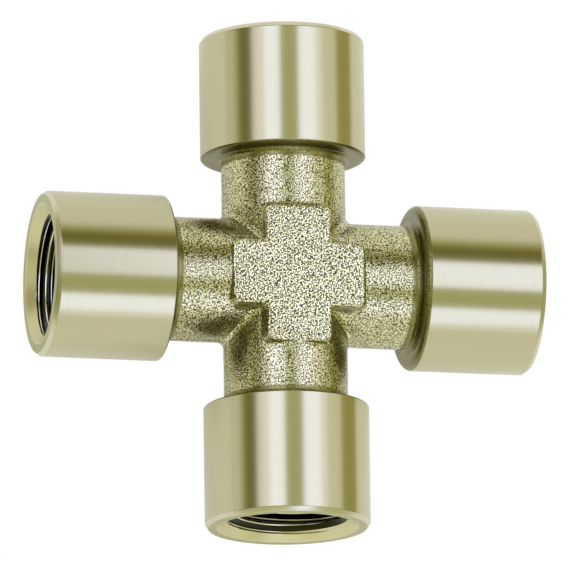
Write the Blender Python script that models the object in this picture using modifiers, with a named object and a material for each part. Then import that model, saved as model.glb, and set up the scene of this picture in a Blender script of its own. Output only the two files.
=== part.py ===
"""Equal cross pipe fitting with four female G 1/4 ports, modelled in Blender.

The fitting lies flat: one run follows X, the other follows Y, and the four
axes cross at the origin. The forged centre and the four turned sockets are
separate objects that meet at the edges where the turned finish starts.
"""

import math

import bmesh
import bpy
from mathutils import Matrix, Vector

MM = 0.001

# Driving dimensions, in metres.
FACE_TO_FACE = 52.0 * MM  # end face to end face, the same along both runs
SOCKET_DIAMETER = 17.2 * MM
TURNED_LENGTH = 12.65 * MM  # from an end face back to the edge of the forged skin
RIGHT_TURNED_LENGTH = 12.25 * MM  # the same on the right, where the cut stops a little short
SPLIT_GAP = 0.3 * MM  # clearance kept between the forging and a socket
END_CHAMFER_LENGTH = 0.5 * MM
END_CHAMFER_DEPTH = 0.35 * MM

# G 1/4 internal pipe thread.
THREAD_MAJOR_DIAMETER = 13.157 * MM
THREAD_MINOR_DIAMETER = 11.445 * MM
THREAD_PITCH = 1.337 * MM
THREAD_FLANK_ANGLE = math.radians(27.5)
THREAD_ROOT_FLAT = 0.22 * MM
THREAD_LENGTH = 10.5 * MM  # from the end face to the last cut turn
THREAD_OVERCUT = 0.12 * MM  # how far the cutter reaches inside the tapping bore
TAP_DRILL_DEPTH = 11.15 * MM
DRILL_POINT_ANGLE = math.radians(59)  # between the drill's axis and its cutting lip
COUNTERSINK_DIAMETER = 14.6 * MM  # a 90 degree countersink

# The forged centre.
NECK_DIAMETER = 12.9 * MM
WATERWAY_DIAMETER = 9.0 * MM
SHOULDER_WALL = 13.15 * MM  # from the centre to the flat of each shoulder
SHOULDER_ROUND = 0.8 * MM  # convex edge, which the turning cuts through
SHOULDER_FILLET = 0.6 * MM  # concave sweep from the shoulder into the neck
PAD_LENGTH_X = 14.0 * MM  # across opposite arms of the cross-shaped pad
PAD_LENGTH_Y = 14.5 * MM
PAD_SHIFT = -0.35 * MM  # of the pads' centre along Y, where the dies met a little off
PAD_ARM_WIDTH = 6.8 * MM
PAD_THICKNESS = 13.5 * MM  # from the front pad's face to the back pad's face
PAD_CORNER = 0.8 * MM

# Facets.
TURN_STEPS = 32
THREAD_STEPS = 24
ARC_STEPS = 4
PAD_CORNER_STEPS = 3
SMOOTH_ANGLE = math.radians(35)  # edges sharper than this are shaded as edges
TURNING_MERGE = 0.01 * MM

HALF_LENGTH = FACE_TO_FACE / 2
SOCKET_RADIUS = SOCKET_DIAMETER / 2
NECK_RADIUS = NECK_DIAMETER / 2
WATERWAY_RADIUS = WATERWAY_DIAMETER / 2
MINOR_RADIUS = THREAD_MINOR_DIAMETER / 2
MAJOR_RADIUS = THREAD_MAJOR_DIAMETER / 2
COUNTERSINK_RADIUS = COUNTERSINK_DIAMETER / 2

PART_COLLECTION = "cross_fitting"
CUTTER_COLLECTION = "cutters"

# Each socket's name, the way its mouth faces and the length of its turned surface.
SOCKETS = {
    "left_socket": (Vector((-1, 0, 0)), TURNED_LENGTH),
    "right_socket": (Vector((1, 0, 0)), RIGHT_TURNED_LENGTH),
    "upper_socket": (Vector((0, 1, 0)), TURNED_LENGTH),
    "lower_socket": (Vector((0, -1, 0)), TURNED_LENGTH),
}


def clear_scene():
    for obj in list(bpy.context.scene.objects):
        bpy.data.objects.remove(obj, do_unlink=True)


def make_collection(name):
    collection = bpy.data.collections.new(name)
    bpy.context.scene.collection.children.link(collection)
    return collection


def make_material(name, colour, roughness):
    material = bpy.data.materials.new(name)
    material.use_nodes = True
    shader = material.node_tree.nodes["Principled BSDF"]
    shader.inputs["Base Color"].default_value = (*colour, 1)
    shader.inputs["Metallic"].default_value = 1
    shader.inputs["Roughness"].default_value = roughness
    return material


def link_mesh(name, mesh, collection):
    obj = bpy.data.objects.new(name, mesh)
    collection.objects.link(obj)
    return obj


def mark_as_helper(obj):
    obj.hide_render = True
    obj.display_type = "WIRE"


def arc(centre, radius, start, end, steps=ARC_STEPS):
    """Points of an arc in the plane of a turning profile, ends included."""
    angles = [math.radians(start + (end - start) * i / steps) for i in range(steps + 1)]
    return [
        (centre[0] + radius * math.cos(angle), centre[1] + radius * math.sin(angle))
        for angle in angles
    ]


def turned_object(name, profile, collection, closed):
    """A profile of (radius, height) points, turned about Z with a Screw modifier."""
    mesh = bpy.data.meshes.new(name)
    edges = [(i, i + 1) for i in range(len(profile) - 1)]
    if closed:
        edges.append((len(profile) - 1, 0))
    mesh.from_pydata([(radius, 0, height) for radius, height in profile], edges, [])
    obj = link_mesh(name, mesh, collection)
    screw = obj.modifiers.new("Turning", "SCREW")
    screw.steps = TURN_STEPS
    screw.render_steps = TURN_STEPS
    screw.use_merge_vertices = True
    screw.merge_threshold = TURNING_MERGE
    return obj


def cylinder_cutter(name, radius, length, spin, collection):
    mesh = bpy.data.meshes.new(name)
    form = bmesh.new()
    bmesh.ops.create_cone(
        form,
        cap_ends=True,
        segments=TURN_STEPS,
        radius1=radius,
        radius2=radius,
        depth=length,
        matrix=Matrix.Rotation(spin, 4, "Z"),
    )
    form.to_mesh(mesh)
    form.free()
    obj = link_mesh(name, mesh, collection)
    mark_as_helper(obj)
    return obj


def add_boolean(obj, other, operation):
    boolean = obj.modifiers.new(other.name, "BOOLEAN")
    boolean.operation = operation
    boolean.object = other
    boolean.solver = "EXACT"


def evaluated_mesh(obj, name):
    graph = bpy.context.evaluated_depsgraph_get()
    mesh = bpy.data.meshes.new_from_object(obj.evaluated_get(graph))
    mesh.name = name
    return mesh


def shade_round(mesh):
    mesh.shade_smooth()
    mesh.set_sharp_from_angle(angle=SMOOTH_ANGLE)


def thread_cutter(collection):
    """The helical groove of the thread, swept from its deep end out past the countersink."""
    inner_radius = MINOR_RADIUS - THREAD_OVERCUT
    half_root = THREAD_ROOT_FLAT / 2
    half_open = half_root + (MAJOR_RADIUS - inner_radius) * math.tan(THREAD_FLANK_ANGLE)
    start = HALF_LENGTH - THREAD_LENGTH
    outline = [
        (inner_radius, start - half_open),
        (MAJOR_RADIUS, start - half_root),
        (MAJOR_RADIUS, start + half_root),
        (inner_radius, start + half_open),
    ]
    turns = (THREAD_LENGTH - THREAD_ROOT_FLAT) / THREAD_PITCH
    steps = round(turns * THREAD_STEPS)

    form = bmesh.new()
    corners = [form.verts.new((radius, 0, height)) for radius, height in outline]
    first_cap = form.faces.new(corners)
    bmesh.ops.spin(
        form,
        geom=[*corners, *first_cap.edges, first_cap],
        cent=(0, 0, 0),
        axis=(0, 0, 1),
        dvec=(0, 0, THREAD_PITCH / THREAD_STEPS),
        angle=2 * math.pi * steps / THREAD_STEPS,
        steps=steps,
    )
    open_edges = [edge for edge in form.edges if edge.is_boundary]
    if open_edges:
        bmesh.ops.holes_fill(form, edges=open_edges)
    bmesh.ops.recalc_face_normals(form, faces=form.faces)
    mesh = bpy.data.meshes.new("thread_cutter")
    form.to_mesh(mesh)
    form.free()
    obj = link_mesh("thread_cutter", mesh, collection)
    mark_as_helper(obj)
    return obj


def socket_profile(turned_length):
    """The socket's wall in section, from its outer edge down, in and back up the bore."""
    back = HALF_LENGTH - turned_length + SPLIT_GAP
    drill_end = HALF_LENGTH - TAP_DRILL_DEPTH
    drill_tip = drill_end - (MINOR_RADIUS - WATERWAY_RADIUS) / math.tan(DRILL_POINT_ANGLE)
    countersink_end = HALF_LENGTH - (COUNTERSINK_RADIUS - MINOR_RADIUS)
    return [
        (SOCKET_RADIUS - END_CHAMFER_DEPTH, HALF_LENGTH),
        (SOCKET_RADIUS, HALF_LENGTH - END_CHAMFER_LENGTH),
        (SOCKET_RADIUS, back),
        (WATERWAY_RADIUS, back),
        (WATERWAY_RADIUS, drill_tip),
        (MINOR_RADIUS, drill_end),
        (MINOR_RADIUS, countersink_end),
        (COUNTERSINK_RADIUS, HALF_LENGTH),
    ]


def make_sockets(parts, cutters):
    """Four threaded sockets, each made mouth up and then turned to face its own way."""
    cutter = thread_cutter(cutters)
    for name, (direction, turned_length) in SOCKETS.items():
        profile = socket_profile(turned_length)
        pattern = turned_object(f"{name}_pattern", profile, cutters, closed=True)
        mark_as_helper(pattern)
        add_boolean(pattern, cutter, "DIFFERENCE")
        mesh = evaluated_mesh(pattern, name)
        shade_round(mesh)
        socket = link_mesh(name, mesh, parts)
        socket.rotation_mode = "QUATERNION"
        socket.rotation_quaternion = Vector((0, 0, 1)).rotation_difference(direction)
        socket.data.materials.append(
            make_material(f"turned_brass_{name}", colour=(0.52, 0.50, 0.33), roughness=0.22)
        )


def run_end(turned_length):
    """Half a section of a forged run's end, from its axis out over the shoulder to the neck."""
    end = HALF_LENGTH - turned_length
    drop = SHOULDER_WALL + SHOULDER_ROUND - end
    reach = math.sqrt(SHOULDER_ROUND**2 - drop**2)
    round_centre = (SOCKET_RADIUS - reach, SHOULDER_WALL + SHOULDER_ROUND)
    round_start = -math.degrees(math.atan2(drop, reach))
    fillet_centre = (NECK_RADIUS + SHOULDER_FILLET, SHOULDER_WALL - SHOULDER_FILLET)
    outline = [(0, end)]
    outline += arc(round_centre, SHOULDER_ROUND, round_start, -90)
    outline += arc(fillet_centre, SHOULDER_FILLET, 90, 180)
    return outline


def run_profile(upper_turned_length, lower_turned_length):
    """Half a section of one whole forged run, with a neck between its two shoulders."""
    upper = run_end(upper_turned_length)
    lower = [(radius, -height) for radius, height in reversed(run_end(lower_turned_length))]
    return upper + lower


def pad_block(name, size, cutters):
    """A block whose two faces are one arm pair of the front and the back pad."""
    mesh = bpy.data.meshes.new(name)
    form = bmesh.new()
    bmesh.ops.create_cube(form, size=1, matrix=Matrix.Diagonal((*size, 1)))
    upright = [e for e in form.edges if abs((e.verts[0].co - e.verts[1].co).z) > PAD_THICKNESS / 2]
    bmesh.ops.bevel(
        form,
        geom=upright,
        offset=PAD_CORNER,
        segments=PAD_CORNER_STEPS,
        profile=0.5,
        affect="EDGES",
    )
    form.to_mesh(mesh)
    form.free()
    obj = link_mesh(name, mesh, cutters)
    obj.location.y = PAD_SHIFT
    mark_as_helper(obj)
    return obj


def make_forged_body(parts, cutters):
    """Two crossing runs with the pads on top, drilled through both ways."""
    quarter = math.pi / 2
    profile_x = run_profile(RIGHT_TURNED_LENGTH, TURNED_LENGTH)
    body = turned_object("forged_body", profile_x, parts, closed=False)
    body.rotation_euler = (0, quarter, 0)

    profile_y = run_profile(TURNED_LENGTH, TURNED_LENGTH)
    cross_run = turned_object("cross_run", profile_y, cutters, closed=False)
    cross_run.rotation_euler = (quarter, 0, 0)
    mark_as_helper(cross_run)
    add_boolean(body, cross_run, "UNION")

    pad_sizes = {
        "pad_along_x": (PAD_LENGTH_X, PAD_ARM_WIDTH, PAD_THICKNESS),
        "pad_along_y": (PAD_ARM_WIDTH, PAD_LENGTH_Y, PAD_THICKNESS),
    }
    for name, size in pad_sizes.items():
        add_boolean(body, pad_block(name, size, cutters), "UNION")

    # Each waterway has a spin of its own, so that its edges miss the other's and the runs'.
    facet = 2 * math.pi / TURN_STEPS
    waterways = {
        "waterway_x": ((0, quarter, 0), facet / 4),
        "waterway_y": ((quarter, 0, 0), facet / 2),
    }
    for name, (rotation, spin) in waterways.items():
        waterway = cylinder_cutter(name, WATERWAY_RADIUS, FACE_TO_FACE, spin, cutters)
        waterway.rotation_euler = rotation
        add_boolean(body, waterway, "DIFFERENCE")
    body.data.materials.append(
        make_material("blasted_brass", colour=(0.42, 0.40, 0.20), roughness=0.42)
    )


def main():
    clear_scene()
    parts = make_collection(PART_COLLECTION)
    cutters = make_collection(CUTTER_COLLECTION)
    make_forged_body(parts, cutters)
    make_sockets(parts, cutters)


main()
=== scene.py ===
"""The looks of an equal cross pipe fitting: a blasted brass forging with four turned, threaded sockets.

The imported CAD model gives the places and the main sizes. Both finishes are modelled here in full:
the forging is meshed from a distance field with its fillets, draft and blasted skin, and each socket
is a turned shell with rounded edges and a helical thread. Shape functions work in millimetres.
"""

import math

import bmesh
import bpy
import numpy as np
import openvdb
from mathutils import Euler, Matrix, Vector, noise


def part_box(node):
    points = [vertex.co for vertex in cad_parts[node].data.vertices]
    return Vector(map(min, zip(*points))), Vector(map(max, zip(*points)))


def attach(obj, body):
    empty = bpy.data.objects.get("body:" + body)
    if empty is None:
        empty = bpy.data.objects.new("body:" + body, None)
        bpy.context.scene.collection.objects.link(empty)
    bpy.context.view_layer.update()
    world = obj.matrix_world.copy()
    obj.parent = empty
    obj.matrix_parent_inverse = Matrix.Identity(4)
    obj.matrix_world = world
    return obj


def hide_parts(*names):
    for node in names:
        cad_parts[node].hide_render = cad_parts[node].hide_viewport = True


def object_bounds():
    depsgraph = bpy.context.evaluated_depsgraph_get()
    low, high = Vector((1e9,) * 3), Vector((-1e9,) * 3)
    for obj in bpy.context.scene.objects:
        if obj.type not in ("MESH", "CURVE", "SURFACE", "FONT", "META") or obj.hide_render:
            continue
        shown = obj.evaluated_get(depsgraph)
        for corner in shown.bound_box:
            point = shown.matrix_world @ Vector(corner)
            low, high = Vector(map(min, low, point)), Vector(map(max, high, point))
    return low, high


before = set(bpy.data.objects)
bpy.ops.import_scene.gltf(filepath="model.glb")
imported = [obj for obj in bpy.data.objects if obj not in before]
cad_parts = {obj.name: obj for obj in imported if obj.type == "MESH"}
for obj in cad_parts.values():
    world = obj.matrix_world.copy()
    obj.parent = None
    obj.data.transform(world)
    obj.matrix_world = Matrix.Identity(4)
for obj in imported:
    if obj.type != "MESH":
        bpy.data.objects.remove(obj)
cad_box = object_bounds()

MM = 0.001


def node_box(name):
    """A CAD node's lowest and highest corners, in millimetres."""
    low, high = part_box(name)
    return low / MM, high / MM


forging_low, forging_high = node_box("forged_body")
_, socket_high = node_box("right_socket")

HALF_LENGTH = socket_high.x
SOCKET_RADIUS = socket_high.z
TURNED_EDGE = -forging_low.x  # where the turned finish starts, from the centre
RIGHT_TURNED_EDGE = forging_high.x  # the right socket's, which starts further out
HIDDEN_GAP = 0.01  # between a socket and the forging, where they meet

# Each socket's CAD node, the way its mouth faces and where its turned finish starts.
SOCKETS = {
    "left_socket": (Vector((-1, 0, 0)), TURNED_EDGE),
    "right_socket": (Vector((1, 0, 0)), RIGHT_TURNED_EDGE),
    "upper_socket": (Vector((0, 1, 0)), TURNED_EDGE),
    "lower_socket": (Vector((0, -1, 0)), TURNED_EDGE),
}

# The forging, as the CAD model has it.
NECK_RADIUS = 6.45
WATERWAY_RADIUS = 4.5
SHOULDER_WALL = 13.15  # how far from the centre the shoulders' flat sides are
SHOULDER_ROUND = 0.8  # the convex edge, which the turning cuts through
SHOULDER_FILLET = 0.6
PAD_HALF_LENGTH_X = 7.0
PAD_HALF_LENGTH_Y = 7.25
PAD_SHIFT = -0.35  # of the pads' centre along Y, where the dies met a little off
PAD_HALF_WIDTH = 3.4
PAD_HALF_THICKNESS = 6.75
PAD_CORNER = 0.8

# The forging's details, which the CAD model leaves out.
CROTCH_FILLET = 0.7  # where two necks meet, at the plane of the cross
CROTCH_FILLET_LEAST = 0.15  # the same under the pads
PAD_EDGE_ROUND = 0.28
PAD_FOOT_FILLET = 0.22
PAD_INNER_FILLET = 0.25
PAD_DRAFT = math.tan(math.radians(8))
RIM_STEP = 0.02  # how far the forged rim lies below the turned surface
FLASH_HEIGHT = 0.07  # what trimming leaves of the parting line
FLASH_HALF_WIDTH = 0.35
SHOULDER_SHADE_REACH = 1.05  # how far from a shoulder's flat side the painted shade reaches

# How the forging is meshed.
SKIN_CELL = 0.16
SKIN_MARGIN = 0.3  # how far the mesh reaches past the furthest turned edge, before it is trimmed

# The sockets.
END_CHAMFER_LENGTH = 0.5
END_CHAMFER_DEPTH = 0.35
COUNTERSINK_RADIUS = 7.3  # at the end face
MAJOR_RADIUS = 13.157 / 2
MINOR_RADIUS = 11.445 / 2
THREAD_PITCH = 1.337
THREAD_SHARP_HEIGHT = 0.9605 * THREAD_PITCH
THREAD_LENGTH = 10.5
TAP_DRILL_DEPTH = 11.15
DRILL_POINT_SLOPE = math.tan(math.radians(31))
SOCKET_STEPS = 192
THREAD_ROWS = 200
THREAD_RUN_IN = 0.8 * THREAD_PITCH  # over which the thread deepens from nothing at its far end
EDGE_ROUND = 0.06  # of every turned edge
FINISH_MARGIN = 0.05  # within which a face's centre counts as lying on an edge
SHADED_THREAD_DEPTH = 1.0  # how far down the countersink the thread's painted shade starts

# A socket's finishes, in the order of its mesh's materials.
TURNED, CHAMFERED, FACED, COUNTERSUNK, THREADED = range(5)


# ---------------------------------------------------------------- distance fields


def round_union(a, b, radius):
    """Two bodies' fields joined, with a concave fillet where they meet at an angle."""
    near_a = np.maximum(radius - a, 0)
    near_b = np.maximum(radius - b, 0)
    return np.maximum(radius, np.minimum(a, b)) - np.hypot(near_a, near_b)


def round_overlap(a, b, radius):
    """What two bodies' fields share, with a rounded edge where they meet at an angle."""
    past_a = np.maximum(radius + a, 0)
    past_b = np.maximum(radius + b, 0)
    return np.minimum(-radius, np.maximum(a, b)) + np.hypot(past_a, past_b)


def rounded_rectangle(x, y, half_x, half_y, corner):
    past_x = np.abs(x) - half_x + corner
    past_y = np.abs(y) - half_y + corner
    outside = np.hypot(np.maximum(past_x, 0), np.maximum(past_y, 0))
    return outside + np.minimum(np.maximum(past_x, past_y), 0) - corner


def run_field(along, radius, positive_edge):
    """One run of the forging: a neck, and at each end a rounded shoulder cut through by the turning."""
    neck = radius - NECK_RADIUS
    turned_edge = np.where(along > 0, positive_edge, TURNED_EDGE)
    drop = SHOULDER_WALL + SHOULDER_ROUND - turned_edge
    blank_radius = SOCKET_RADIUS - np.sqrt(SHOULDER_ROUND**2 - drop**2) + SHOULDER_ROUND
    shoulder = round_overlap(SHOULDER_WALL - np.abs(along), radius - blank_radius, SHOULDER_ROUND)
    blank = round_union(neck, shoulder, SHOULDER_FILLET)
    return np.maximum(blank, radius - SOCKET_RADIUS + RIM_STEP)


def pad_field(x, y, z):
    """The raised cross-shaped pads, front and back, with drafted sides."""
    y = y - PAD_SHIFT
    arm_x = rounded_rectangle(x, y, PAD_HALF_LENGTH_X, PAD_HALF_WIDTH, PAD_CORNER)
    arm_y = rounded_rectangle(x, y, PAD_HALF_WIDTH, PAD_HALF_LENGTH_Y, PAD_CORNER)
    outline = round_union(arm_x, arm_y, PAD_INNER_FILLET)
    below_face = np.abs(z) - PAD_HALF_THICKNESS
    return round_overlap(outline + below_face * PAD_DRAFT, below_face, PAD_EDGE_ROUND)


def forging_field(x, y, z):
    """Distance to the forging's skin in millimetres, negative inside the metal."""
    run_x = run_field(x, np.hypot(y, z), RIGHT_TURNED_EDGE)
    run_y = run_field(y, np.hypot(x, z), TURNED_EDGE)
    height = np.clip(1 - (z / NECK_RADIUS) ** 2, 0, 1)
    body = round_union(run_x, run_y, CROTCH_FILLET_LEAST + (CROTCH_FILLET - CROTCH_FILLET_LEAST) * height)
    body = round_union(body, pad_field(x, y, z), PAD_FOOT_FILLET)
    from_edge = SHOULDER_WALL - np.maximum(np.abs(x), np.abs(y))
    flash = FLASH_HEIGHT * np.exp(-((z / FLASH_HALF_WIDTH) ** 4)) * np.clip(from_edge, 0, 1)
    return body - flash


def skin_mesh():
    """Points and quads on the forging's skin, closed a little past the furthest turned edge."""
    reach = RIGHT_TURNED_EDGE + SKIN_MARGIN
    span_x = np.arange(-reach - 2 * SKIN_CELL, reach + 2 * SKIN_CELL, SKIN_CELL)
    span_z = np.arange(-SOCKET_RADIUS - 2 * SKIN_CELL, SOCKET_RADIUS + 2 * SKIN_CELL, SKIN_CELL)
    x = span_x[:, None, None]
    y = span_x[None, :, None]
    z = span_z[None, None, :]
    field = np.maximum(forging_field(x, y, z), np.maximum(np.abs(x), np.abs(y)) - reach)
    grid = openvdb.FloatGrid(4 * SKIN_CELL)
    grid.copyFromArray(field.astype(np.float32))
    grid.transform = openvdb.createLinearTransform(voxelSize=SKIN_CELL)
    points, quads = grid.convertToQuads(isovalue=0)
    points = points.astype(float) + (span_x[0], span_x[0], span_z[0])
    return points, quads, reach


def field_gradient(points, step=0.01):
    x, y, z = points.T
    return np.stack(
        [
            forging_field(x + step, y, z) - forging_field(x - step, y, z),
            forging_field(x, y + step, z) - forging_field(x, y - step, z),
            forging_field(x, y, z + step) - forging_field(x, y, z - step),
        ],
        axis=1,
    ) / (2 * step)


def settle_on_skin(points, rounds=3):
    """Moves mesh points onto the exact skin, and returns them with their outward directions."""
    for _ in range(rounds):
        slope = field_gradient(points)
        distance = forging_field(*points.T)
        points = points - slope * (distance / np.maximum((slope**2).sum(1), 0.1))[:, None]
    slope = field_gradient(points)
    return points, slope / np.linalg.norm(slope, axis=1)[:, None]


# ---------------------------------------------------------------- the forging


def blasted_relief(point):
    """Height of the blasted and forged skin's own relief, in millimetres."""
    swell = noise.noise(point / 2.4)
    dents = noise.noise(point / 0.95 + Vector((7, 3, 5)))
    grain = noise.noise(point / 0.42 + Vector((1, 9, 4)))
    return 0.016 * swell + 0.008 * dents + 0.010 * grain - 0.008


def make_forging():
    points, quads, reach = skin_mesh()
    on_end_plane = np.maximum(np.abs(points[:, 0]), np.abs(points[:, 1])) > reach - 0.05
    settled, outward = settle_on_skin(points)
    relief = np.array([blasted_relief(Vector(point)) for point in settled])
    before_shoulder = SHOULDER_WALL - np.maximum(np.abs(settled[:, 0]), np.abs(settled[:, 1]))
    relief *= np.clip(before_shoulder / 0.4, 0, 1)
    shaped = settled + outward * relief[:, None]
    points = np.where(on_end_plane[:, None], points, shaped)

    mesh = bpy.data.meshes.new("forged_centre")
    mesh.from_pydata(points * MM, [], quads[:, ::-1].tolist())
    forging = bpy.data.objects.new("forged_centre", mesh)
    bpy.context.scene.collection.objects.link(forging)
    trim_ends(mesh)
    drill_waterways(forging)
    forging.data.shade_smooth()
    forging.data.set_sharp_from_angle(angle=math.radians(50))
    return forging


def trim_ends(mesh):
    """Cuts the four arms off square where the sockets start, and closes them."""
    form = bmesh.new()
    form.from_mesh(mesh)
    for direction, turned_edge in SOCKETS.values():
        place = direction * (turned_edge - HIDDEN_GAP) * MM
        cut = bmesh.ops.bisect_plane(
            form,
            geom=[*form.verts, *form.edges, *form.faces],
            plane_co=place,
            plane_no=direction,
            clear_outer=True,
        )
        rim = [item for item in cut["geom_cut"] if isinstance(item, bmesh.types.BMEdge)]
        bmesh.ops.holes_fill(form, edges=rim)
    bmesh.ops.recalc_face_normals(form, faces=form.faces)
    form.to_mesh(mesh)
    form.free()


def drill_waterways(forging):
    """Bores both runs right through with a Boolean, and leaves no modifier behind."""
    quarter = math.pi / 2
    for name, turn in (("x", (0, quarter, 0)), ("y", (quarter, 0, 0))):
        bpy.ops.mesh.primitive_cylinder_add(
            vertices=96,
            radius=WATERWAY_RADIUS * MM,
            depth=2 * HALF_LENGTH * MM,
            rotation=turn,
        )
        drill = bpy.context.object
        cut = forging.modifiers.new("waterway_" + name, "BOOLEAN")
        cut.operation = "DIFFERENCE"
        cut.object = drill
        cut.solver = "EXACT"
        graph = bpy.context.evaluated_depsgraph_get()
        drilled = bpy.data.meshes.new_from_object(forging.evaluated_get(graph))
        forging.modifiers.clear()
        old = forging.data
        forging.data = drilled
        bpy.data.meshes.remove(old)
        bpy.data.objects.remove(drill)


# ---------------------------------------------------------------- the sockets


def rounded_corners(outline, radius, steps=4):
    """An open outline with each inner corner replaced by a small arc-like curve."""
    result = [Vector(outline[0])]
    for before, corner, after in zip(outline, outline[1:], outline[2:]):
        corner = Vector(corner)
        back = (Vector(before) - corner).normalized() * radius
        ahead = (Vector(after) - corner).normalized() * radius
        for i in range(steps + 1):
            t = i / steps
            result.append(corner + back * (1 - t) ** 2 + ahead * t**2)
    result.append(Vector(outline[-1]))
    return result


def thread_radius(along, turn):
    """The thread's surface, right-handed, with rounded crests and roots."""
    phase = np.mod(along / THREAD_PITCH - turn / (2 * math.pi), 1)
    sharp = THREAD_SHARP_HEIGHT * (np.abs(2 * phase - 1) - 0.5)
    half_depth = (MAJOR_RADIUS - MINOR_RADIUS) / 2
    blunt = sharp / (1 + np.abs(sharp / half_depth) ** 6) ** (1 / 6)
    return (MAJOR_RADIUS + MINOR_RADIUS) / 2 + blunt


def bore_radius(along, turn):
    """The socket's inside from the countersink, through the thread, to its run-out."""
    last_turn = HALF_LENGTH - THREAD_LENGTH + turn / (2 * math.pi) * THREAD_PITCH
    cut = np.clip((along - last_turn) / THREAD_RUN_IN, 0, 1)
    threaded = MINOR_RADIUS + (thread_radius(along, turn) - MINOR_RADIUS) * cut * cut * (3 - 2 * cut)
    countersink = COUNTERSINK_RADIUS - (HALF_LENGTH - along)
    return np.maximum(threaded, countersink)


def socket_rings(turned_edge):
    """Arrays of radius and distance along the axis, one row for each ring and one column for each step."""
    outer = rounded_corners(
        [
            (WATERWAY_RADIUS, turned_edge),
            (SOCKET_RADIUS, turned_edge),
            (SOCKET_RADIUS, HALF_LENGTH - END_CHAMFER_LENGTH),
            (SOCKET_RADIUS - END_CHAMFER_DEPTH, HALF_LENGTH),
            (COUNTERSINK_RADIUS, HALF_LENGTH),
            (COUNTERSINK_RADIUS - 0.25, HALF_LENGTH - 0.25),
        ],
        radius=EDGE_ROUND,
    )
    drill_end = HALF_LENGTH - TAP_DRILL_DEPTH
    drill_tip = drill_end - (MINOR_RADIUS - WATERWAY_RADIUS) * DRILL_POINT_SLOPE
    turn = np.linspace(0, 2 * math.pi, SOCKET_STEPS, endpoint=False)
    radii = [np.full(SOCKET_STEPS, point.x) for point in outer]
    alongs = [np.full(SOCKET_STEPS, point.y) for point in outer]
    for along in np.linspace(HALF_LENGTH - 0.3, drill_end + 0.1, THREAD_ROWS):
        radii.append(bore_radius(along, turn))
        alongs.append(np.full(SOCKET_STEPS, along))
    for radius, along in ((MINOR_RADIUS, drill_end), (WATERWAY_RADIUS, drill_tip)):
        radii.append(np.full(SOCKET_STEPS, radius))
        alongs.append(np.full(SOCKET_STEPS, along))
    return np.array(radii), np.array(alongs), turn


def ring_faces(rings, steps):
    """Quads between neighbouring rings, the last ring joined back to the first."""
    ring = np.arange(rings)[:, None]
    step = np.arange(steps)[None, :]
    next_ring = (ring + 1) % rings
    next_step = (step + 1) % steps
    corners = [
        ring * steps + step,
        ring * steps + next_step,
        next_ring * steps + next_step,
        next_ring * steps + step,
    ]
    return np.stack([np.broadcast_to(c, (rings, steps)) for c in corners], axis=-1).reshape(-1, 4)


def finish_of(centre, turned_edge):
    """Which of the socket's finishes a face has, from its centre in millimetres."""
    radius = math.hypot(centre.x, centre.y)
    depth = HALF_LENGTH - centre.z
    if radius > SOCKET_RADIUS - FINISH_MARGIN or centre.z < turned_edge + 2 * FINISH_MARGIN:
        return TURNED
    if radius > SOCKET_RADIUS - END_CHAMFER_DEPTH:
        return CHAMFERED
    # The countersink's rim gets the chamfers' paler brass as a painted highlight.
    if abs(radius - COUNTERSINK_RADIUS) < FINISH_MARGIN and depth < EDGE_ROUND:
        return CHAMFERED
    if radius > COUNTERSINK_RADIUS:
        return FACED
    return COUNTERSUNK if depth < SHADED_THREAD_DEPTH else THREADED


def socket_mesh(turned_edge, finishes):
    """A turned socket about its own Z axis, mouth up, at its real distance from the origin."""
    radii, alongs, turn = socket_rings(turned_edge)
    points = np.stack([radii * np.cos(turn), radii * np.sin(turn), alongs], axis=-1).reshape(-1, 3)
    mesh = bpy.data.meshes.new("turned_socket")
    mesh.from_pydata(points * MM, [], ring_faces(*radii.shape).tolist())
    mesh.shade_smooth()
    mesh.set_sharp_from_angle(angle=math.radians(60))
    for material in finishes:
        mesh.materials.append(material)
    for face in mesh.polygons:
        face.material_index = finish_of(face.center / MM, turned_edge)
    return mesh


def make_sockets():
    finishes = socket_finishes()
    meshes = {edge: socket_mesh(edge, finishes) for edge in (TURNED_EDGE, RIGHT_TURNED_EDGE)}
    sockets = {}
    for node, (direction, turned_edge) in SOCKETS.items():
        socket = bpy.data.objects.new(f"turned_{node}", meshes[turned_edge])
        bpy.context.scene.collection.objects.link(socket)
        socket.rotation_mode = "QUATERNION"
        socket.rotation_quaternion = Vector((0, 0, 1)).rotation_difference(direction)
        even = socket.modifiers.new("even_shading", "WEIGHTED_NORMAL")
        even.keep_sharp = True
        sockets[node] = socket
    return sockets


# ---------------------------------------------------------------- materials

# Noise scales, in marks and grains over a metre, and the heights of both, in metres.
TOOL_MARK_SCALE = 9000.0
BLASTED_GRAIN_SCALE = 7000.0
BLASTED_GRAIN_HEIGHT = 0.00005

# The turned finishes: colour, roughness and the height of the tool marks in metres. The colours other than
# the turned brass's carry painted light and shade.
TURNED_BRASS = ((0.515, 0.485, 0.30), 0.20, 0.000002)
# The chamfers' paler brass is a painted highlight, also used on the countersink's rim.
CHAMFER_HIGHLIGHT_BRASS = ((0.62, 0.59, 0.43), 0.30, 0.000002)
# The end faces' dark olive is painted shade, standing in for a reflection of the shaded floor under the
# fitting.
SHADED_FACED_BRASS = ((0.35, 0.34, 0.105), 0.28, 0.000003)
# The countersink's paler olive is painted light on the same brass as the turned surface.
LIT_COUNTERSUNK_BRASS = ((0.66, 0.62, 0.35), 0.34, 0.000003)
THREADED_BRASS = ((0.5, 0.48, 0.3), 0.20, 0.000001)
# The thread's colour ramp is painted light: a near-white highlight on crests and roots, near-black shade
# on the flanks.
THREAD_PAINTED_HIGHLIGHT = (1.0, 0.98, 0.85)
THREAD_PAINTED_SHADE = (0.02, 0.018, 0.004)

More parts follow.
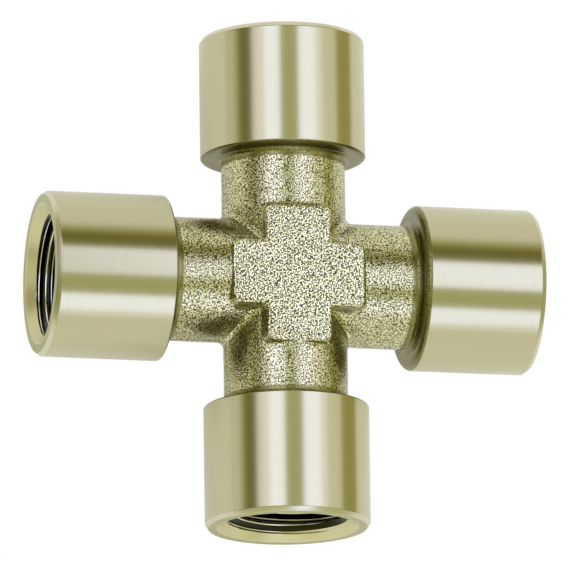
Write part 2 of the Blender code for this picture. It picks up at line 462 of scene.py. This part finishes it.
# The blasted finish: what shows in the grain, painted shade on the necks between the grains, and painted
# shade by the shoulders.
GRAIN_DULL = (0.07, 0.062, 0.012)
GRAIN_BRIGHT = (0.93, 0.90, 0.58)
# Painted shade: the necks' darker olive, where the recessed metal falls in shade.
NECK_PAINTED_SHADE = (0.30, 0.275, 0.10)
NECK_PAINTED_SHADE_SHARE = 0.3
NECK_BUMP = 0.55
# Painted shade: a darker olive by the shoulders, in the corners behind the sockets.
SHOULDER_PAINTED_SHADE = (0.20, 0.18, 0.045)
SHOULDER_PAINTED_SHADE_SHARE = 0.85
BLASTED_ROUGHNESS = 0.22


def add_node(tree, kind, **values):
    """A shader node with its sockets set by name; a linked socket is given as an output socket."""
    node = tree.nodes.new(kind)
    for name, value in values.items():
        if hasattr(node, name):
            setattr(node, name, value)
            continue
        socket = node.inputs[name.replace("_", " ")]
        if isinstance(value, bpy.types.NodeSocket):
            tree.links.new(value, socket)
        else:
            socket.default_value = value
    return node


def map_range(tree, value, start, end, new_start=0.0, new_end=1.0):
    """A value socket's reach from start to end, stretched onto a new one and cut off beyond it."""
    node = add_node(
        tree,
        "ShaderNodeMapRange",
        Value=value,
        From_Min=start,
        From_Max=end,
        To_Min=new_start,
        To_Max=new_end,
    )
    return node.outputs[0]


def magnitude(tree, value):
    """A value socket without its sign."""
    node = add_node(tree, "ShaderNodeMath", operation="ABSOLUTE")
    tree.links.new(value, node.inputs[0])
    return node.outputs[0]


def colour_ramp(tree, value, stops):
    """A colour ramp over a value socket, from pairs of (position, colour) in rising order."""
    ramp = add_node(tree, "ShaderNodeValToRGB", Fac=value)
    elements = ramp.color_ramp.elements
    while len(elements) < len(stops):
        elements.new(0)
    for element, (position, colour) in zip(reversed(elements), reversed(stops)):
        element.position = position
        element.color = (*colour, 1)
    return ramp.outputs["Color"]


def flat_colour(tree, colour):
    node = add_node(tree, "ShaderNodeRGB")
    node.outputs[0].default_value = (*colour, 1)
    return node.outputs[0]


def mix_colours(tree, factor, first, second):
    """The mix of two colour sockets."""
    mix = add_node(tree, "ShaderNodeMix", data_type="RGBA")
    tree.links.new(factor, mix.inputs["Factor"])
    for name, colour in (("A", first), ("B", second)):
        socket = next(s for s in mix.inputs if s.name == name and s.type == "RGBA")
        tree.links.new(colour, socket)
    return next(s for s in mix.outputs if s.type == "RGBA")


def new_metal(name):
    material = bpy.data.materials.new(name)
    material.use_nodes = True
    tree = material.node_tree
    shader = tree.nodes["Principled BSDF"]
    shader.inputs["Metallic"].default_value = 1
    return material, tree, shader


def machined_brass(name, colour, roughness, mark_height):
    """Brass with tool marks round the socket's own Z axis. Also gives the distance from that axis."""
    material, tree, shader = new_metal(name)
    place = add_node(tree, "ShaderNodeTexCoord").outputs["Object"]
    split = add_node(tree, "ShaderNodeSeparateXYZ", Vector=place)
    flat = add_node(tree, "ShaderNodeVectorMath", operation="MULTIPLY")
    tree.links.new(place, flat.inputs[0])
    flat.inputs[1].default_value = (1, 1, 0)
    length = add_node(tree, "ShaderNodeVectorMath", operation="LENGTH")
    tree.links.new(flat.outputs[0], length.inputs[0])
    radius = length.outputs["Value"]
    across = add_node(tree, "ShaderNodeCombineXYZ", X=radius, Z=split.outputs["Z"]).outputs[0]
    noise_node = add_node(tree, "ShaderNodeTexNoise", Vector=across, Scale=TOOL_MARK_SCALE, Detail=3.0)
    marks = noise_node.outputs[0]
    shader.inputs["Base Color"].default_value = (*colour, 1)
    rough = map_range(tree, marks, 0.0, 1.0, roughness - 0.05, roughness + 0.05)
    tree.links.new(rough, shader.inputs["Roughness"])
    bump = add_node(tree, "ShaderNodeBump", Height=marks, Distance=mark_height, Strength=0.5)
    tree.links.new(bump.outputs[0], shader.inputs["Normal"])
    return material, radius


def threaded_brass():
    """The thread: painted highlights on its crests and along its roots, and painted shade on its flanks.
    """
    material, radius = machined_brass("threaded_brass", *THREADED_BRASS)
    tree = material.node_tree
    depth = map_range(tree, radius, MINOR_RADIUS * MM, MAJOR_RADIUS * MM)
    # Painted highlight at the crest and root depths, painted shade between them.
    stops = [(0.03, THREAD_PAINTED_HIGHLIGHT), (0.10, THREAD_PAINTED_SHADE), (0.93, THREAD_PAINTED_SHADE), (0.98, THREAD_PAINTED_HIGHLIGHT)]
    tree.links.new(colour_ramp(tree, depth, stops), tree.nodes["Principled BSDF"].inputs["Base Color"])
    return material


def socket_finishes():
    """The sockets' materials, in the order of the numbers TURNED to THREADED."""
    return (
        machined_brass("turned_brass", *TURNED_BRASS)[0],
        machined_brass("chamfer_brass_painted_highlight", *CHAMFER_HIGHLIGHT_BRASS)[0],
        machined_brass("faced_brass_painted_shade", *SHADED_FACED_BRASS)[0],
        machined_brass("countersunk_brass_painted_light", *LIT_COUNTERSUNK_BRASS)[0],
        threaded_brass(),
    )


def blasted_brass():
    """Shot-blasted brass: bright dimples with dull olive brass left between them, with painted shade on
    the necks and by the shoulders.
    """
    material, tree, shader = new_metal("blasted_brass")
    place = add_node(tree, "ShaderNodeTexCoord").outputs["Object"]
    grain = add_node(
        tree, "ShaderNodeTexNoise", Vector=place, Scale=BLASTED_GRAIN_SCALE, Detail=0.5, Roughness=0.5
    ).outputs[0]
    pads = on_pads(tree, place)
    colour = colour_ramp(tree, grain, [(0.43, GRAIN_DULL), (0.54, GRAIN_BRIGHT)])
    # Painted shade: a darker olive mixed in on the necks below the pads.
    neck_shade_share = map_range(tree, pads, 0.0, 1.0, NECK_PAINTED_SHADE_SHARE, 0.0)
    colour = mix_colours(tree, neck_shade_share, colour, flat_colour(tree, NECK_PAINTED_SHADE))
    # Painted shade by the shoulders.
    shoulder_shade_share = shade_by_shoulders(tree, place)
    colour = mix_colours(tree, shoulder_shade_share, colour, flat_colour(tree, SHOULDER_PAINTED_SHADE))
    tree.links.new(colour, shader.inputs["Base Color"])
    shader.inputs["Roughness"].default_value = BLASTED_ROUGHNESS
    strength = map_range(tree, pads, 0.0, 1.0, NECK_BUMP, 1.0)
    bump = add_node(
        tree, "ShaderNodeBump", Height=grain, Distance=BLASTED_GRAIN_HEIGHT, Strength=strength
    ).outputs[0]
    tree.links.new(bump, shader.inputs["Normal"])
    return material


def on_pads(tree, place):
    """1 on the faces of the raised pads, and 0 on the rounder metal below them."""
    height = magnitude(tree, add_node(tree, "ShaderNodeSeparateXYZ", Vector=place).outputs["Z"])
    return map_range(tree, height, (NECK_RADIUS + 0.05) * MM, (PAD_HALF_THICKNESS - 0.1) * MM)


def shade_by_shoulders(tree, place):
    """How much painted shade darkens the metal: none on the forging's middle, and most by its shoulders.
    """
    split = add_node(tree, "ShaderNodeSeparateXYZ", Vector=place)
    furthest = add_node(tree, "ShaderNodeMath", operation="MAXIMUM")
    for axis, socket in zip("XY", furthest.inputs):
        tree.links.new(magnitude(tree, split.outputs[axis]), socket)
    shadow = SHOULDER_WALL - SHOULDER_SHADE_REACH
    return map_range(tree, furthest.outputs[0], shadow * MM, (shadow + 0.2) * MM, 0.0, SHOULDER_PAINTED_SHADE_SHARE)


# ---------------------------------------------------------------- studio


CAMERA_TURN = (13.4, -13.3, -0.8)  # degrees about X, Y and Z from straight down
CAMERA_DISTANCE = 1.5
CAMERA_AIM = Vector((-0.1, 0.3, 0)) * MM
VIEW_WIDTH = 58.9 * MM
FLOOR_SIZE = 0.2  # metres
FLOOR_GLOW = 0.32

# The light panels: each one's reach along X and Y in metres, and what its light adds to the ceiling's.
CEILING_HEIGHT = 0.6
BRIGHT = (1.05, 1.13, 2.25)
SOFT = (0.70, 0.68, 1.20)
FILL = (0.40, 0.38, 0.60)
CEILING_PANELS = {
    "left_bright": ((-0.46, -0.165), (-0.10, 0.50), BRIGHT),
    "left_soft": ((-0.90, -0.46), (-0.10, 0.60), SOFT),
    "right_bright": ((0.10, 0.42), (-0.11, 0.30), BRIGHT),
    "right_soft": ((0.42, 0.60), (-0.11, 0.50), SOFT),
    "right_fill": ((0.60, 1.60), (-0.20, 0.60), FILL),
    "front_bright": ((0.00, 0.40), (-1.20, -0.47), BRIGHT),
    "front_soft": ((0.00, 0.60), (-1.70, -1.20), FILL),
}
PALE_WALL = (1.0, 1.0, 0.97)
CEILING = (0.60, 0.62, 0.33)
OLIVE_WALL = (0.48, 0.45, 0.15)
DARK_WALL = (0.22, 0.20, 0.04)
WHITE = (1, 1, 1)


def make_camera():
    data = bpy.data.cameras.new("camera")
    data.sensor_width = 36
    data.lens = data.sensor_width * CAMERA_DISTANCE / VIEW_WIDTH
    data.clip_end = 20
    camera = bpy.data.objects.new("camera", data)
    bpy.context.scene.collection.objects.link(camera)
    turn = Euler([math.radians(angle) for angle in CAMERA_TURN]).to_matrix()
    place = CAMERA_AIM + turn @ Vector((0, 0, CAMERA_DISTANCE))
    camera.matrix_world = Matrix.Translation(place) @ turn.to_4x4()
    bpy.context.scene.camera = camera


def make_floor():
    """A pale matt floor that the fitting reflects, and that the camera sees as plain white."""
    bpy.ops.mesh.primitive_plane_add(size=FLOOR_SIZE, location=(0, 0, cad_box[0][2]))
    floor = bpy.context.object
    floor.name = "floor"
    material = bpy.data.materials.new("pale_floor")
    material.use_nodes = True
    tree = material.node_tree
    shader = tree.nodes["Principled BSDF"]
    shader.inputs["Base Color"].default_value = (0.85, 0.85, 0.83, 1)
    shader.inputs["Roughness"].default_value = 1
    shader.inputs["Specular IOR Level"].default_value = 0
    shader.inputs["Emission Color"].default_value = (1, 1, 0.97, 1)
    shader.inputs["Emission Strength"].default_value = FLOOR_GLOW
    white = add_node(tree, "ShaderNodeEmission")
    seen = add_node(tree, "ShaderNodeLightPath").outputs["Is Camera Ray"]
    mix = add_node(tree, "ShaderNodeMixShader")
    tree.links.new(seen, mix.inputs["Fac"])
    tree.links.new(shader.outputs["BSDF"], mix.inputs[1])
    tree.links.new(white.outputs["Emission"], mix.inputs[2])
    tree.links.new(mix.outputs["Shader"], tree.nodes["Material Output"].inputs["Surface"])
    floor.data.materials.append(material)


def make_ceiling_panel(name, x_range, y_range, radiance):
    """A soft light panel in the ceiling, from its edges in metres and its radiance in three colours."""
    data = bpy.data.lights.new(name, "AREA")
    data.shape = "RECTANGLE"
    data.size = x_range[1] - x_range[0]
    data.size_y = y_range[1] - y_range[0]
    data.energy = data.size * data.size_y * math.pi * max(radiance)
    data.color = Vector(radiance) / max(radiance)
    lamp = bpy.data.objects.new(name, data)
    bpy.context.scene.collection.objects.link(lamp)
    lamp.location = (sum(x_range) / 2, sum(y_range) / 2, CEILING_HEIGHT)


def ramp_along(tree, component, stops):
    """A colour ramp over one part of a direction, from pairs of (component, colour) in rising order."""
    place = map_range(tree, component, -1.0, 1.0)
    return colour_ramp(tree, place, [((at + 1) / 2, colour) for at, colour in stops])


def make_world():
    """Olive walls, darker behind the left and rear panels and pale low down, all white to the camera."""
    world = bpy.data.worlds.new("studio")
    bpy.context.scene.world = world
    world.use_nodes = True
    tree = world.node_tree
    background = tree.nodes["Background"]
    way = add_node(tree, "ShaderNodeTexCoord").outputs["Generated"]
    split = add_node(tree, "ShaderNodeSeparateXYZ", Vector=way)
    across = ramp_along(
        tree,
        split.outputs["X"],
        [
            (-0.97, PALE_WALL),
            (-0.95, OLIVE_WALL),
            (-0.92, DARK_WALL),
            (-0.82, DARK_WALL),
            (-0.76, OLIVE_WALL),
            (-0.70, CEILING),
            (0.88, CEILING),
            (0.93, OLIVE_WALL),
        ],
    )
    along = ramp_along(
        tree,
        split.outputs["Y"],
        [
            (-0.93, PALE_WALL),
            (-0.86, CEILING),
            (0.38, CEILING),
            (0.46, OLIVE_WALL),
            (0.54, DARK_WALL),
            (0.70, DARK_WALL),
            (0.78, OLIVE_WALL),
            (0.89, PALE_WALL),
        ],
    )
    sideways = map_range(tree, magnitude(tree, split.outputs["X"]), 0.6, 0.7)
    walls = mix_colours(tree, sideways, along, across)
    seen = add_node(tree, "ShaderNodeLightPath").outputs["Is Camera Ray"]
    shown = mix_colours(tree, seen, walls, flat_colour(tree, WHITE))
    tree.links.new(shown, background.inputs["Color"])


def make_studio():
    bpy.context.scene.view_settings.view_transform = "Standard"
    make_camera()
    make_floor()
    make_world()
    for name, panel in CEILING_PANELS.items():
        make_ceiling_panel(name, *panel)


# ---------------------------------------------------------------- assembly


make_studio()

forging = make_forging()
forging.data.materials.clear()
forging.data.materials.append(blasted_brass())
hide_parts("forged_body")
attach(forging, "root")

for node, socket in make_sockets().items():
    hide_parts(node)
    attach(socket, "root")
